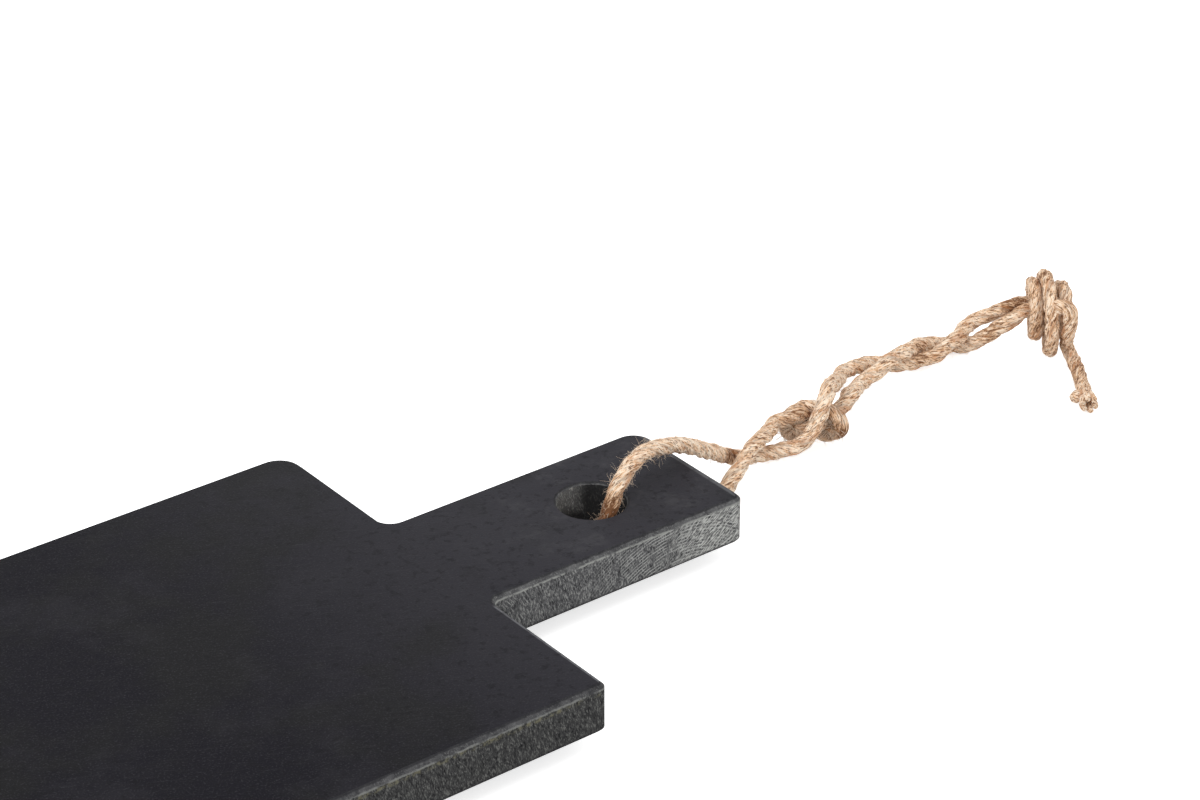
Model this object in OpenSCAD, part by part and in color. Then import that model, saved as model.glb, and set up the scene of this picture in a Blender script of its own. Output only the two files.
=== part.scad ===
// A slate serving board with a paddle handle. A jute rope hangs from the hole in the handle:
// its two legs are twisted together, carry a stopper knot, and end in a wound knot with a tail.
// The board lies along X with its handle towards +X, and stands on four rubber bumpers at z = 0.

/* [Slab] */
// Length of the whole board with its handle
overall_length = 400; // [330:1:480]
// Width of the body
body_width = 166; // [130:1:220]
// Thickness of the slate
slab_thickness = 16; // [10:0.5:20]
// Radius of the body's two corners at its far end, seen from above
end_corner_radius = 5; // [3:0.5:12]
// Radius of the body's left corner at the handle, seen from above
left_corner_radius = 9; // [3:0.5:12]
// Radius of the body's right corner at the handle, seen from above
right_corner_radius = 3; // [3:0.5:12]
// Sanded chamfer along the upper edges
edge_chamfer = 1.6; // [0.5:0.1:2.5]
// Sanded chamfer along the lower edges
lower_edge_chamfer = 1; // [0.5:0.1:2.5]

/* [Handle] */
// Length of the handle, from the shoulders to its end
handle_length = 97.5; // [80:0.5:130]
// Width of the handle
handle_width = 54; // [44:1:80]
// Radius of the handle's left outer corner, seen from above
left_handle_radius = 8; // [3:0.5:15]
// Radius of the handle's right outer corner, seen from above
right_handle_radius = 4; // [3:0.5:15]
// Radius of the hollow corner where the handle meets the left shoulder
left_fillet_radius = 4.5; // [3:0.5:16]
// Radius of the hollow corner where the handle meets the right shoulder
right_fillet_radius = 3; // [3:0.5:16]

/* [Hanging hole] */
// Diameter of the hole
hole_diameter = 22; // [20:0.5:28]
// Distance from the hole's centre to the end of the handle
hole_from_end = 39.5; // [30:0.5:50]
// Eased rim of the hole
hole_rim_chamfer = 0.8; // [0.3:0.1:1.5]

/* [Bumpers] */
// Height of a bumper, from the table to the slate
bumper_height = 7; // [7:0.5:12]
// Diameter of a bumper where it is glued to the slate
bumper_diameter = 20; // [12:0.5:30]
// Diameter of a bumper's foot
bumper_foot_diameter = 17; // [10:0.5:26]
// Diameter of the dimple under a bumper
bumper_dimple_diameter = 7; // [4:0.5:9]
// Depth of the dimple
bumper_dimple_depth = 1.5; // [0.5:0.1:3]
// Rounding of the lower edge of a bumper
bumper_edge_radius = 1.2; // [0.5:0.1:2]
// Distance from a bumper's centre to the body's long edge
bumper_from_side = 28; // [18:1:40]
// Distance from a bumper's centre to the body's end edge
bumper_from_end = 30; // [18:1:60]

/* [Rope] */
// Diameter of the free rope
rope_diameter = 6; // [4:0.1:6.4]
// Diameter of the rope where the end knot squeezes it
wound_rope_diameter = 5; // [3.6:0.1:5.2]
// Diameter of the rope where the stopper knot cinches it
cinched_rope_diameter = 3.8; // [3:0.1:4]
// Advance of the end knot's winding for each turn
winding_pitch = 5.6; // [5.4:0.1:7]
// Radius of the winding's first and last turns, at the rope's middle
winding_radius = 8.8; // [8.7:0.1:10]
// Radius of the winding's middle turn, at the rope's middle
winding_bulge_radius = 14.2; // [11:0.1:14.4]

/* [Hidden] */

slate_colour = [0.22, 0.22, 0.23];
rubber_colour = [0.09, 0.09, 0.09];
jute_colour = [0.78, 0.64, 0.47];

// One length by which every cut runs past the face that it cuts
overrun = 1;
round_fn = 96;

half_length = overall_length / 2;
body_length = overall_length - handle_length;
shoulder_x = half_length - handle_length;
half_body = body_width / 2;
half_handle = handle_width / 2;
slab_bottom = bumper_height;
slab_top = slab_bottom + slab_thickness;
hole_x = half_length - hole_from_end;
hole_radius = hole_diameter / 2;

// The rope's routes, as points from one end to the other. The two legs share their first point,
// inside the hole, and leave it in opposite directions. What lies beyond the board is placed
// from one origin of its own.
beyond_origin = [1.1, 1.4, 0];
function beyond(points) = [for (point = points) point + beyond_origin];

upper_leg_over_board = [
    [158, -5.5, 15.5], [160.5, -7.2, 19], [162, -7.4, 23], [164.5, -6.8, 28], [170, -5.6, 33],
    [177.5, -3.8, 35.2], [186, -1.8, 34.2], [196, 0.6, 30.5], [207.4, 4.2, 23.3]
];
upper_leg_beyond_board = [
    [218.2, 8, 14.7], [225.4, 11.8, 9.4], [231.5, 12.4, 6.4], [239.5, 12.5, 4.6], [246, 11.8, 4], [250.4, 8.8, 5.7],
    [254, 6.4, 9.4], [257.4, 6.3, 13.5], [260.1, 6.8, 16.5], [262.8, 7.4, 19.2], [266.2, 9.8, 21.2],
    [270.6, 13.2, 20.2], [275.3, 17.1, 16.7], [281, 22.9, 13.5], [287.7, 28.9, 9.2], [294, 33.6, 7.8],
    [302.5, 35.8, 6.6], [308.5, 36.6, 5.4], [313.6, 34.2, 4.4], [318.2, 31.2, 3.2], [322.7, 29, 3.2],
    [327.9, 28.1, 3.8], [332, 27.2, 5.2], [336.8, 27.6, 6.8], [340.6, 27.4, 8.2], [345.2, 28.6, 9.7],
    [349.4, 29.4, 11], [353.4, 27.2, 13], [357.6, 24.6, 15.6], [361.6, 22, 18.3]
];
lower_leg_under_board = [
    [158, -5.5, 15.5], [155.5, -3.8, 12], [155.2, -2.8, 8.4], [157.6, -2.4, 5.1], [162.5, -2.1, 3.6],
    [182, -1.6, 3.5], [200, -1.2, 3.8], [208.4, -0.2, 4.9]
];
lower_leg_beyond_board = [
    [215, -0.2, 7.2], [220.2, 1.4, 9.9], [226.4, 4.2, 12], [233.4, 7.8, 12.6], [239.2, 10.9, 12],
    [245, 14.3, 10.9]
];
far_leg_beyond_board = [
    [283.4, 19, 9], [291.6, 24.2, 6.2], [298.5, 28.4, 5.2], [304, 29, 6], [308.3, 28.4, 8.6],
    [313.7, 29.7, 9.4], [317.6, 30, 10], [324.5, 32.8, 8.4], [331.6, 34.9, 6], [338.4, 34.9, 4],
    [343.2, 32, 3.2], [347, 28.7, 3.2], [349.6, 24.8, 5.4], [352.6, 21.8, 8.6], [355.2, 19.4, 12],
    [357.4, 17.1, 15.2]
];
tail_beyond_board = [
    [371, 1.2, 5.4], [368.6, -2.4, 3.8], [364.8, -7.4, 3.2], [360.3, -13.3, 3.2], [355.4, -20.6, 3.2]
];
upper_leg_route = concat(upper_leg_over_board, beyond(upper_leg_beyond_board));
lower_leg_route = concat(lower_leg_under_board, beyond(lower_leg_beyond_board));
far_leg_route = beyond(far_leg_beyond_board);
tail_route = beyond(tail_beyond_board);

// The stopper knot, as points across, up and towards the viewer. The inner part is half a route:
// the other half is the same one turned over, so that the rope goes over where it went under.
stopper_centre = beyond_origin + [263, 12.3, 9.2];
stopper_across = [0.79, -0.6, -0.11];
stopper_towards = [-0.54, -0.69, 0.48];
stopper_entry = [[-9.2, 0.2, 3.2]];
stopper_half_route = [
    [-5.8, 1.8, 2.8], [-3, 0.6, -0.4], [0.2, -2, -3], [3.6, -4.5, -3], [7.2, -4, -1],
    [8.7, -1, 1.6], [6.7, 2.8, 3.2], [3.4, 5.3, 2.3], [0, 6, 0]
];
stopper_exit = [[8, 4.6, -4.6]];

// The end knot: the middle of its winding and the direction of its axis
winding_centre = beyond_origin + [370.4, 11.4, 16.4];
winding_axis = [0.79, -0.61, 0];
winding_start_angle = -30;
winding_end_angle = 830;
bulge_start_angle = 180;
bulge_end_angle = 720;
// Shares of the rope's radius: how far the legs lie from the winding's axis, and how much higher
core_spread_share = 1.06;
core_lift_share = 0.88;

rope_sides = 8;
wound_sides = 6;
rings_per_turn = 24;
stopper_rings_per_point = 3;
tuft_sides = 8;
tuft_ring_shares = [1, 1.04, 1.15, 1.22, 1.08, 0.8];
tuft_step_share = 0.5;
nub_ring_shares = [0.5, 0.56, 0.5, 0.36];
nub_step_share = 0.36;

// Vectors

function unit(v) = v / norm(v);

// The direction of a route at each of its points
function directions(route) = [
    for (i = [0 : len(route) - 1])
        unit(route[min(i + 1, len(route) - 1)] - route[max(i - 1, 0)])
];

// A sideways direction carried along a route without turning about it
function carried_sides(along, sides, i) =
    i == len(along) ? sides :
    let (last = sides[len(sides) - 1])
    carried_sides(along, concat(sides, [unit(last - (last * along[i]) * along[i])]), i + 1);

// A route with a straight run of the given length added at each end
function straight_ended(route, run) =
    let (last = len(route) - 1)
    concat(
        [route[0] - run * unit(route[1] - route[0])],
        route,
        [route[last] + run * unit(route[last] - route[last - 1])]
    );

function first_side(direction) =
    unit(cross(direction, abs(direction.z) < 0.9 ? [0, 0, 1] : [1, 0, 0]));

// A smooth curve through a route's points, with several steps for each of them
function curve_point(route, i, t) =
    let (
        last = len(route) - 1,
        a = route[max(i - 1, 0)],
        b = route[i],
        c = route[min(i + 1, last)],
        d = route[min(i + 2, last)]
    )
    (2 * b + (c - a) * t + (2 * a - 5 * b + 4 * c - d) * t * t + (3 * b - a - 3 * c + d) * t * t * t) / 2;

function smoothed(route, steps) = concat(
    [for (i = [0 : len(route) - 2], k = [0 : steps - 1]) curve_point(route, i, k / steps)],
    [route[len(route) - 1]]
);

// The least gap between the parts of one tube that lie more than the given length apart along it
function travelled(route, i, sums) =
    i == len(route) ? sums :
    travelled(route, i + 1, concat(sums, [sums[i - 1] + norm(route[i] - route[i - 1])]));

function least_gap(route, diameter, apart) =
    let (along = travelled(route, 1, [0]))
    min([
        for (i = [0 : len(route) - 1], j = [i + 1 : 1 : len(route) - 1])
            if (along[j] - along[i] > apart) norm(route[j] - route[i])
    ]) - diameter;

// One closed tube along a route, with a ring at each point
module tube(route, radii, sides) {
    along = directions(route);
    across = carried_sides(along, [first_side(along[0])], 1);
    rings = [
        for (i = [0 : len(route) - 1], k = [0 : sides - 1])
            let (up = cross(along[i], across[i]), angle = 360 * k / sides)
            route[i] + radii[i] * (cos(angle) * across[i] + sin(angle) * up)
    ];
    last = (len(route) - 1) * sides;
    walls = [
        for (i = [0 : len(route) - 2], k = [0 : sides - 1])
            let (
                a = i * sides + k,
                b = i * sides + (k + 1) % sides,
                c = a + sides,
                d = b + sides
            )
            each [[a, d, c], [a, b, d]]
    ];
    start_cap = [for (k = [1 : sides - 2]) [0, k + 1, k]];
    end_cap = [for (k = [1 : sides - 2]) [last, last + k, last + k + 1]];
    polyhedron(points = rings, faces = [for (face = concat(walls, start_cap, end_cap)) [face[0], face[2], face[1]]]);
}

module even_tube(route, diameter, sides) {
    tube(route, [for (point = route) diameter / 2], sides);
}

// Slab

// The outline of the half at +y
module half_outline(corner_radius, handle_radius, fillet_radius) {
    translate([-half_length + end_corner_radius, -overrun])
        square([body_length - end_corner_radius - corner_radius, half_body + overrun]);
    translate([-half_length, -overrun])
        square([body_length - corner_radius, half_body - end_corner_radius + overrun]);
    translate([-half_length + end_corner_radius, -overrun])
        square([body_length - end_corner_radius, half_body - corner_radius + overrun]);
    translate([-half_length + end_corner_radius, half_body - end_corner_radius])
        circle(r = end_corner_radius, $fn = round_fn);
    translate([shoulder_x - corner_radius, half_body - corner_radius])
        circle(r = corner_radius, $fn = round_fn);
    translate([shoulder_x - handle_radius, -overrun])
        square([handle_length, half_handle + overrun]);
    translate([shoulder_x, -overrun])
        square([handle_length, half_handle - handle_radius + overrun]);
    translate([half_length - handle_radius, half_handle - handle_radius])
        circle(r = handle_radius, $fn = round_fn);
    difference() {
        translate([shoulder_x, half_handle - edge_chamfer])
            square([fillet_radius, fillet_radius + edge_chamfer]);
        translate([shoulder_x + fillet_radius, half_handle + fillet_radius])
            circle(r = fillet_radius, $fn = round_fn);
    }
}

// The section that a chamfer takes off an edge at the origin, whose body lies towards -x and -y
module chamfer_section(chamfer) {
    polygon([
        [-chamfer, 0],
        [-chamfer, overrun],
        [overrun, overrun],
        [overrun, -chamfer],
        [0, -chamfer]
    ]);
}

// The chamfer of a straight edge that starts at the origin and runs along +y, its body towards -x
module straight_chamfer(length, chamfer) {
    translate([0, length, 0])
        rotate([90, 0, 0])
            linear_extrude(length)
                chamfer_section(chamfer);
}

// The chamfer round an outer corner, from its centre
module corner_chamfer(radius, start_angle, chamfer) {
    rotate([0, 0, start_angle])
        rotate_extrude(angle = 90, $fn = round_fn)
            translate([radius, 0])
                chamfer_section(chamfer);
}

// The chamfer round a hollow corner, from its centre
module fillet_chamfer(radius, start_angle, chamfer) {
    rotate([0, 0, start_angle])
        rotate_extrude(angle = 90, $fn = round_fn)
            translate([radius, 0])
                mirror([1, 0])
                    chamfer_section(chamfer);
}

// The chamfers of the half of the outline at +y, with the slab's face at z = 0
module half_chamfers(corner_radius, handle_radius, fillet_radius, chamfer) {
    translate([shoulder_x - corner_radius, half_body, 0])
        rotate([0, 0, 90])
            straight_chamfer(body_length - end_corner_radius - corner_radius, chamfer);
    translate([-half_length + end_corner_radius, half_body - end_corner_radius, 0])
        corner_chamfer(end_corner_radius, 90, chamfer);
    translate([shoulder_x - corner_radius, half_body - corner_radius, 0])
        corner_chamfer(corner_radius, 0, chamfer);
    translate([shoulder_x, half_handle + fillet_radius, 0])
        straight_chamfer(half_body - half_handle - corner_radius - fillet_radius, chamfer);
    translate([shoulder_x + fillet_radius, half_handle + fillet_radius, 0])
        fillet_chamfer(fillet_radius, 180, chamfer);
    translate([half_length - handle_radius, half_handle, 0])
        rotate([0, 0, 90])
            straight_chamfer(handle_length - handle_radius - fillet_radius, chamfer);
    translate([half_length - handle_radius, half_handle - handle_radius, 0])
        corner_chamfer(handle_radius, 0, chamfer);
    translate([half_length, 0, 0])
        straight_chamfer(half_handle - handle_radius, chamfer);
    translate([-half_length, half_body - end_corner_radius, 0])
        rotate([0, 0, 180])
            straight_chamfer(half_body - end_corner_radius, chamfer);
}

module face_chamfers(chamfer) {
    half_chamfers(left_corner_radius, left_handle_radius, left_fillet_radius, chamfer);
    mirror([0, 1, 0])
        half_chamfers(right_corner_radius, right_handle_radius, right_fillet_radius, chamfer);
    translate([hole_x, 0, 0])
        rotate_extrude($fn = round_fn)
            polygon([
                [0, -hole_radius - hole_rim_chamfer],
                [0, overrun],
                [hole_radius + hole_rim_chamfer + overrun, overrun],
                [hole_radius + hole_rim_chamfer, 0],
                [hole_radius, -hole_rim_chamfer],
                [hole_radius, -hole_radius]
            ]);
}

module slate_board() {
    color(slate_colour)
        difference() {
            translate([0, 0, slab_bottom])
                linear_extrude(slab_thickness) {
                    half_outline(left_corner_radius, left_handle_radius, left_fillet_radius);
                    mirror([0, 1])
                        half_outline(right_corner_radius, right_handle_radius, right_fillet_radius);
                }
            translate([0, 0, slab_top])
                face_chamfers(edge_chamfer);
            translate([0, 0, slab_bottom])
                mirror([0, 0, 1])
                    face_chamfers(lower_edge_chamfer);
            translate([hole_x, 0, slab_bottom - overrun])
                cylinder(h = slab_thickness + 2 * overrun, r = hole_radius, $fn = round_fn);
        }
}

// Bumpers

module bumper(end, side) {
    centre_x = end > 0 ? shoulder_x - bumper_from_end : bumper_from_end - half_length;
    foot_radius = bumper_foot_diameter / 2;
    color(rubber_colour)
        translate([centre_x, side * (half_body - bumper_from_side), 0])
            rotate_extrude($fn = round_fn)
                difference() {
                    union() {
                        polygon([
                            [0, 0],
                            [foot_radius - bumper_edge_radius, 0],
                            [foot_radius, bumper_edge_radius],
                            [bumper_diameter / 2, bumper_height],
                            [0, bumper_height]
                        ]);
                        translate([foot_radius - bumper_edge_radius, bumper_edge_radius])
                            circle(r = bumper_edge_radius, $fn = round_fn / 2);
                    }
                    translate([-overrun, -overrun])
                        square([bumper_dimple_diameter / 2 + overrun, bumper_dimple_depth + overrun]);
                    translate([-bumper_diameter, -overrun])
                        square([bumper_diameter, bumper_height + 2 * overrun]);
                }
}

// Stopper knot

stopper_up = unit(cross(stopper_towards, stopper_across));
stopper_points = concat(
    stopper_entry,
    stopper_half_route,
    [for (i = [len(stopper_half_route) - 2 : -1 : 0])
        [-stopper_half_route[i].x, stopper_half_route[i].y, -stopper_half_route[i].z]],
    stopper_exit
);
stopper_route = straight_ended(
    [
        for (point = smoothed(stopper_points, stopper_rings_per_point))
            stopper_centre + point.x * unit(stopper_across) + point.y * stopper_up
                + point.z * unit(stopper_towards)
    ],
    cinched_rope_diameter
);
stopper_start = stopper_route[0];
stopper_end = stopper_route[len(stopper_route) - 1];
echo(stopper_gap = least_gap(stopper_route, cinched_rope_diameter, 2 * cinched_rope_diameter));

module stopper_knot() {
    color(jute_colour)
        even_tube(stopper_route, cinched_rope_diameter, wound_sides);
}

// End knot

winding_away = unit(cross([0, 0, 1], winding_axis));

// How far the middle turn bulges, from 0 to 1
function bulge(angle) =
    angle < bulge_start_angle || angle > bulge_end_angle ? 0 :
    (1 - cos(360 * (angle - bulge_start_angle) / (bulge_end_angle - bulge_start_angle))) / 2;

function winding_point(angle) =
    let (radius = winding_radius + (winding_bulge_radius - winding_radius) * bulge(angle))
    winding_centre
        + winding_pitch * (angle - 450) / 360 * winding_axis
        + radius * (cos(angle) * [0, 0, 1] - sin(angle) * winding_away);

winding_turned = winding_end_angle - winding_start_angle;
winding_rings = ceil(rings_per_turn * winding_turned / 360);
winding_route = straight_ended(
    [
        for (i = [0 : winding_rings])
            winding_point(winding_start_angle + winding_turned * i / winding_rings)
    ],
    wound_rope_diameter
);
winding_end = winding_route[len(winding_route) - 1];
winding_end_direction = unit(winding_end - winding_route[len(winding_route) - 2]);
echo(winding_gap = least_gap(winding_route, wound_rope_diameter, 2 * wound_rope_diameter));

// A leg inside the winding, on one side of its axis
function core_point(side, along) =
    winding_centre + along * winding_axis
        - side * core_spread_share * wound_rope_diameter / 2 * winding_away
        + core_lift_share * wound_rope_diameter / 2 * [0, 0, 1];

core_start = -1.5 * winding_pitch;
core_end = 1.2 * winding_pitch;

module end_knot() {
    color(jute_colour)
        even_tube(winding_route, wound_rope_diameter, wound_sides);
}

// Free rope

// A radius for each ring: the rope's own, and the squeezed one at the last two
function leg_radii(route) = [
    for (i = [0 : len(route) - 1])
        (i < len(route) - 2 ? rope_diameter : wound_rope_diameter) / 2
];

module rope_upper_leg() {
    route = concat(upper_leg_route, [core_point(-1, core_start), core_point(-1, core_end)]);
    color(jute_colour)
        tube(route, leg_radii(route), rope_sides);
}

module rope_lower_leg() {
    lead = unit(stopper_route[1] - stopper_start);
    color(jute_colour)
        even_tube(
            concat(lower_leg_route, [stopper_start - rope_diameter / 2 * lead, stopper_start]),
            rope_diameter,
            rope_sides
        );
}

module rope_far_leg() {
    lead = unit(stopper_end - stopper_route[len(stopper_route) - 2]);
    route = concat(
        [stopper_end, stopper_end + rope_diameter / 2 * lead],
        far_leg_route,
        [core_point(1, core_start), core_point(1, core_end)]
    );
    color(jute_colour)
        tube(route, leg_radii(route), rope_sides);
}

module rope_tail() {
    lead = winding_end + wound_rope_diameter / 4 * winding_end_direction;
    color(jute_colour)
        even_tube(concat([winding_end, lead], tail_route), wound_rope_diameter, rope_sides);
}

// The frayed end of the tail, with one loose strand that sticks out beside it
tail_end = tail_route[len(tail_route) - 1];
tail_direction = unit(tail_end - tail_route[len(tail_route) - 2]);

module tail_tuft() {
    tuft_step = tuft_step_share * wound_rope_diameter;
    nub_step = nub_step_share * wound_rope_diameter;
    nub_direction = cross(tail_direction, [0, 0, 1]);
    nub_start = tail_end + 2 * tuft_step * tail_direction;
    color(jute_colour)
        union() {
            tube(
                [for (i = [0 : len(tuft_ring_shares) - 1]) tail_end + i * tuft_step * tail_direction],
                [for (share = tuft_ring_shares) share * wound_rope_diameter / 2],
                tuft_sides
            );
            tube(
                [for (i = [0 : len(nub_ring_shares) - 1]) nub_start + (i + 1) * nub_step * nub_direction],
                [for (share = nub_ring_shares) share * wound_rope_diameter / 2],
                tuft_sides
            );
        }
}

slate_board();
bumper(1, 1);  // bumper_front_left
bumper(1, -1);  // bumper_front_right
bumper(-1, 1);  // bumper_back_left
bumper(-1, -1);  // bumper_back_right
rope_upper_leg();
rope_lower_leg();
stopper_knot();
rope_far_leg();
end_knot();
rope_tail();
tail_tuft();
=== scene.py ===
"""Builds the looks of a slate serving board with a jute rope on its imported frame."""

import math
import random
from functools import partialmethod

import bmesh
import bpy
from bpy.props import FloatProperty, FloatVectorProperty, IntProperty, PointerProperty
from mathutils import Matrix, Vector, noise


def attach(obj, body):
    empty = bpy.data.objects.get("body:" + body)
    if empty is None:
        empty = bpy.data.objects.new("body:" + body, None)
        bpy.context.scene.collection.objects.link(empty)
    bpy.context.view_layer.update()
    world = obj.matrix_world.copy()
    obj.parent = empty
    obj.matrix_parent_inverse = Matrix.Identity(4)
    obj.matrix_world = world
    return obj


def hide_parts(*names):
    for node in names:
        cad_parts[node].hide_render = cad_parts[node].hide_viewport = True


bl_info = {
    "name": "Slate serving board",
    "version": (1, 0, 0),
    "blender": (4, 5, 0),
    "location": "3D View > Sidebar > Slate board",
    "description": "A slate paddle board with a twisted and knotted jute rope",
    "category": "Object",
}

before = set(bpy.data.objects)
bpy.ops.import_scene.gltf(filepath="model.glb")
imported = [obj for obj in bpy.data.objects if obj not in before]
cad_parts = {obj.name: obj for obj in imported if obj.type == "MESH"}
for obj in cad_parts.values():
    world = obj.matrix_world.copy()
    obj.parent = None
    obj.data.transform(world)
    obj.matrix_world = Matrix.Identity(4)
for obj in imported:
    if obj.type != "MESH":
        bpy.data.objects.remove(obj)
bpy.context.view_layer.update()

MM = 0.001
UP = Vector((0, 0, 1))

# The rope's routes in millimetres, a little closer to the photograph than those in the part's source
BEYOND_ORIGIN = (1.1, 1.4, 0)


def beyond(points):
    """Points given from the origin of what lies beyond the board."""
    return [tuple(a + b for a, b in zip(point, BEYOND_ORIGIN)) for point in points]


UPPER_LEG_ROUTE = [
    (158, -5.5, 15.5), (160.5, -7.2, 19), (162, -7.4, 23), (164.5, -6.8, 28), (170, -5.6, 33),
    (177.5, -3.8, 35.2), (186, -1.8, 33.9), (196, 0.6, 29.9), (207.4, 4.2, 22.8),
] + beyond([
    (218.2, 8, 14.7), (225.4, 11.8, 9.4), (231.5, 12.4, 6.4), (239.5, 12.5, 4.6), (246, 11.8, 4),
    (251.8, 8.8, 5.2), (255.4, 6.4, 8.8), (258.4, 6.3, 12.8), (260.6, 6.8, 16.3), (262.8, 7.4, 19.2),
    (266.2, 9.8, 21.2), (270.6, 13.2, 20.2), (275.3, 17.1, 16.7), (281, 22.9, 13.5), (287.7, 28.9, 9.2),
    (294, 33.6, 7.8), (302.5, 35.8, 6.6), (308.5, 36.6, 5.4), (313.6, 34.4, 4.9), (318.2, 31.8, 4),
    (322.7, 29.8, 4), (327.9, 28.6, 4.4), (332, 27.2, 5.2), (336.8, 27.6, 6.8), (340.6, 27.4, 8.2),
    (345.2, 28.6, 9.7), (349.4, 29.4, 11), (353.4, 27.2, 13), (357.6, 24.6, 15), (361.6, 22, 16.9),
])
LOWER_LEG_ROUTE = [
    (158, -5.5, 15.5), (155.5, -3.8, 12), (155.2, -2.8, 8.4), (157.6, -2.4, 5.1), (162.5, -2.1, 3.6),
    (182, -1.6, 3.5), (200, -1.2, 3.8), (208.4, -0.2, 4.9),
] + beyond([
    (215, -0.2, 7.2), (220.2, 1.4, 9.9), (226.4, 4.2, 12), (233.4, 7.8, 12.6), (239.2, 10.9, 12),
    (245, 14.3, 10.9),
])
FAR_LEG_ROUTE = beyond([
    (283.4, 19, 9), (291.6, 24.2, 6.2), (298.5, 28.4, 5.2), (304, 29, 6), (308.3, 28.4, 8.6),
    (313.7, 29.5, 8.9), (317.6, 29.6, 9.4), (324.5, 32.3, 7.8), (331.6, 34.9, 6), (338.4, 34.9, 4),
    (343.2, 32, 3.2), (347, 28.7, 3.2), (349.6, 24.8, 6.3), (352.6, 21.8, 9.7), (355.2, 19.4, 12.6),
    (357.4, 17.1, 15.2),
])
TAIL_ROUTE = beyond([
    (370.2, 1.8, 5.4), (368.4, -2.2, 3.8), (365.2, -7.7, 3.2), (360.8, -13.6, 3.2), (355.6, -20.7, 3.2),
])
STOPPER_CENTRE = Vector((264.1, 13.7, 9.2))
STOPPER_ACROSS = Vector((0.79, -0.6, -0.11))
STOPPER_TOWARDS = Vector((-0.54, -0.69, 0.48))
STOPPER_ENTRY = (-9.2, 0.2, 3.2)
STOPPER_HALF_ROUTE = [
    (-5.8, 1.8, 2.8), (-3, 0.6, -0.4), (0.2, -1.6, -3), (3.6, -3.5, -3), (7, -3, -1),
    (8.7, -1, 1.6), (6.6, 2.3, 3.2), (3.4, 4.1, 2.3), (0, 4.5, 0),
]
STOPPER_EXIT = (8, 4.6, -4.6)
STOPPER_LEAD = 4.2
WINDING_CENTRE = Vector((371.5, 12.8, 16.4))
WINDING_AXIS = Vector((0.79, -0.61, 0))
WINDING_AWAY = UP.cross(WINDING_AXIS).normalized()
WINDING_PITCH = 5.6
WINDING_RADIUS = 8.8
WINDING_BULGE_RADIUS = 14.2
WINDING_LEAD = 5

# How far the end knot's turns lean back from an even pitch, in millimetres at each angle
WINDING_LEANS = [
    (-110, -2.6), (-60, -2), (-20, -0.5), (70, 0.7), (150, 1.3), (220, 1.5), (300, 0.9), (360, 1.4),
    (450, 1.6), (540, 1.7), (620, 0.9), (700, 0.4), (740, 0.6), (800, 2.3), (830, 2.1),
]

# The stopper knot's frayed lumps: their middle, how far they reach, and their number of fibres; and
# the places where the rope is painted darker, mostly painted shade in its hollows, under crossings, in
# the hole and between the end knot's turns, and partly darker jute: their middle, how far they reach,
# and how dark they are
STOPPER_FUZZ = [((256.8, 15.7, 8.6), 5.6, 900), ((267.6, 8.5, 8.3), 4.5, 520)]
DARK_AND_SHADED_PLACES = [
    ((257.8, 16, 9.3), 10, 0.8),
    ((268.1, 9.1, 7.9), 10, 0.8),
    ((224.6, 12.2, 10.6), 10, 0.65),
    ((368.4, 14.2, 30.3), 4, 0.8),
    ((160, -7, 17.5), 14, 2),
    ((362.5, 22, 18), 8, 0.8),
    ((353, 24, 11), 9, 0.4),
    ((327.5, 31, 6), 8, 0.5),
    ((244, 15, 9), 7, 0.4),
    ((368.5, 15.1, 15.5), 8.2, 0.9),
    ((372.9, 11.7, 13), 8.2, 0.9),
    ((360.8, -15.4, 3.2), 3.2, 0.9),
    ((364, -8, 3.2), 18, 0.4),
    ((372, 9, 15), 70, 0.2),
]


def metres(points):
    return [Vector(point) * MM for point in points]


# Sizes and colours that a user would change


def size_prop(name, description, default):
    return FloatProperty(name=name, description=description, default=default, unit="LENGTH")


def colour_prop(name, description, default):
    return FloatVectorProperty(name=name, description=description, default=default, subtype="COLOR")


class BoardRopeSizes(bpy.types.PropertyGroup):
    """Sizes of the rope and its fibres."""

    free_diameter: size_prop("Free rope", "Diameter of the free rope", 0.0054)
    wound_diameter: size_prop("Wound rope", "Diameter of the rope in the end knot", 0.0049)
    tail_diameter: size_prop("Tail", "Diameter of the rope's tail", 0.005)
    cinched_diameter: size_prop("Cinched rope", "Diameter of the rope in the stopper knot", 0.0056)
    lay_length: size_prop("Lay length", "Length in which a strand turns once round the rope", 0.021)
    strands: IntProperty(name="Strands", description="Strands laid into the rope", default=3)
    hair_thickness: size_prop("Hair thickness", "Thickness of a loose fibre at its root", 0.00012)


class BoardColours(bpy.types.PropertyGroup):
    """Colours of the slate, the rope and the rubber."""

    slate: colour_prop("Slate", "Colour of the body's face", (0.0086, 0.0081, 0.0118))
    rubbed_slate: colour_prop("Handle slate", "Colour of the handle's face", (0.033, 0.032, 0.038))
    slate_patch: colour_prop("Slate patches", "Colour of the clouds in the slate", (0.0142, 0.0144, 0.0135))
    sawn_slate: colour_prop("Sawn slate", "Colour of the sanded sides", (0.088, 0.088, 0.092))
    deep_slate: colour_prop("Deep slate", "Colour in the sanding marks", (0.02, 0.02, 0.022))
    slate_dust: colour_prop("Slate dust", "Colour of the scratches", (0.31, 0.312, 0.302))
    jute_light: colour_prop("Light jute", "Colour of the lightest fibres", (0.97, 0.815, 0.65))
    jute: colour_prop("Jute", "Colour of most of the fibres", (0.82, 0.53, 0.322))
    jute_ginger: colour_prop("Ginger jute", "Colour of the reddish patches", (0.52, 0.235, 0.1))
    jute_dark: colour_prop("Dark jute", "Colour of the darkest fibres", (0.165, 0.068, 0.027))
    rubber: colour_prop("Rubber", "Colour of the bumpers", (0.018, 0.018, 0.019))


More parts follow.
